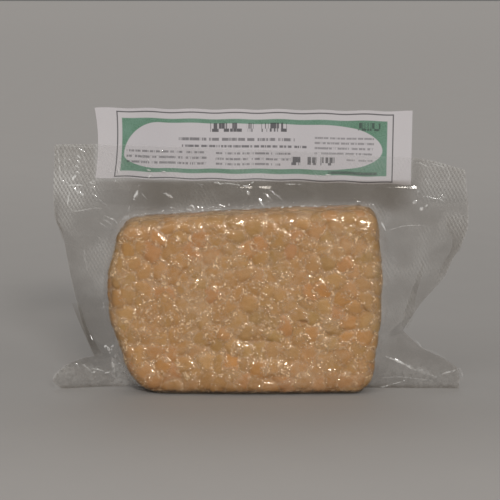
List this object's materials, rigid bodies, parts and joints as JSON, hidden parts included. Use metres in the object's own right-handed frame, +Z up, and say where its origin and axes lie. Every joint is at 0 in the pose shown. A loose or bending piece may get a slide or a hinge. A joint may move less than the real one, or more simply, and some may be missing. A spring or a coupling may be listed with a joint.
{
  "type": "vacuum-packed tempeh cake",
  "caption": "Upright soybean tempeh cake, vacuum-packed in a clear embossed film bag with side margins and folded ears, a printed paper strip held in its mouth.",
  "frame": {"origin": "bottom centre of the whole pack's box, on the surface that it stands on", "axes": "+X along the pack's width, to the right as seen from the front; +Y from the front to the back, through the cake's thickness; +Z up, towards the label"},
  "size_m": [0.1949, 0.0258, 0.1331],
  "materials": {
    "tempeh": "tan soybeans bound by pale mould, moist under tight film",
    "clear_film": "clear vacuum film with a fine diamond emboss",
    "label_paper": "matt white paper printed with a green field and an oval"
  },
  "bodies": {
    "root": {"tempeh_cake": "tempeh", "vacuum_bag": "clear_film", "label_card": "label_paper"}
  },
  "joints": []
}
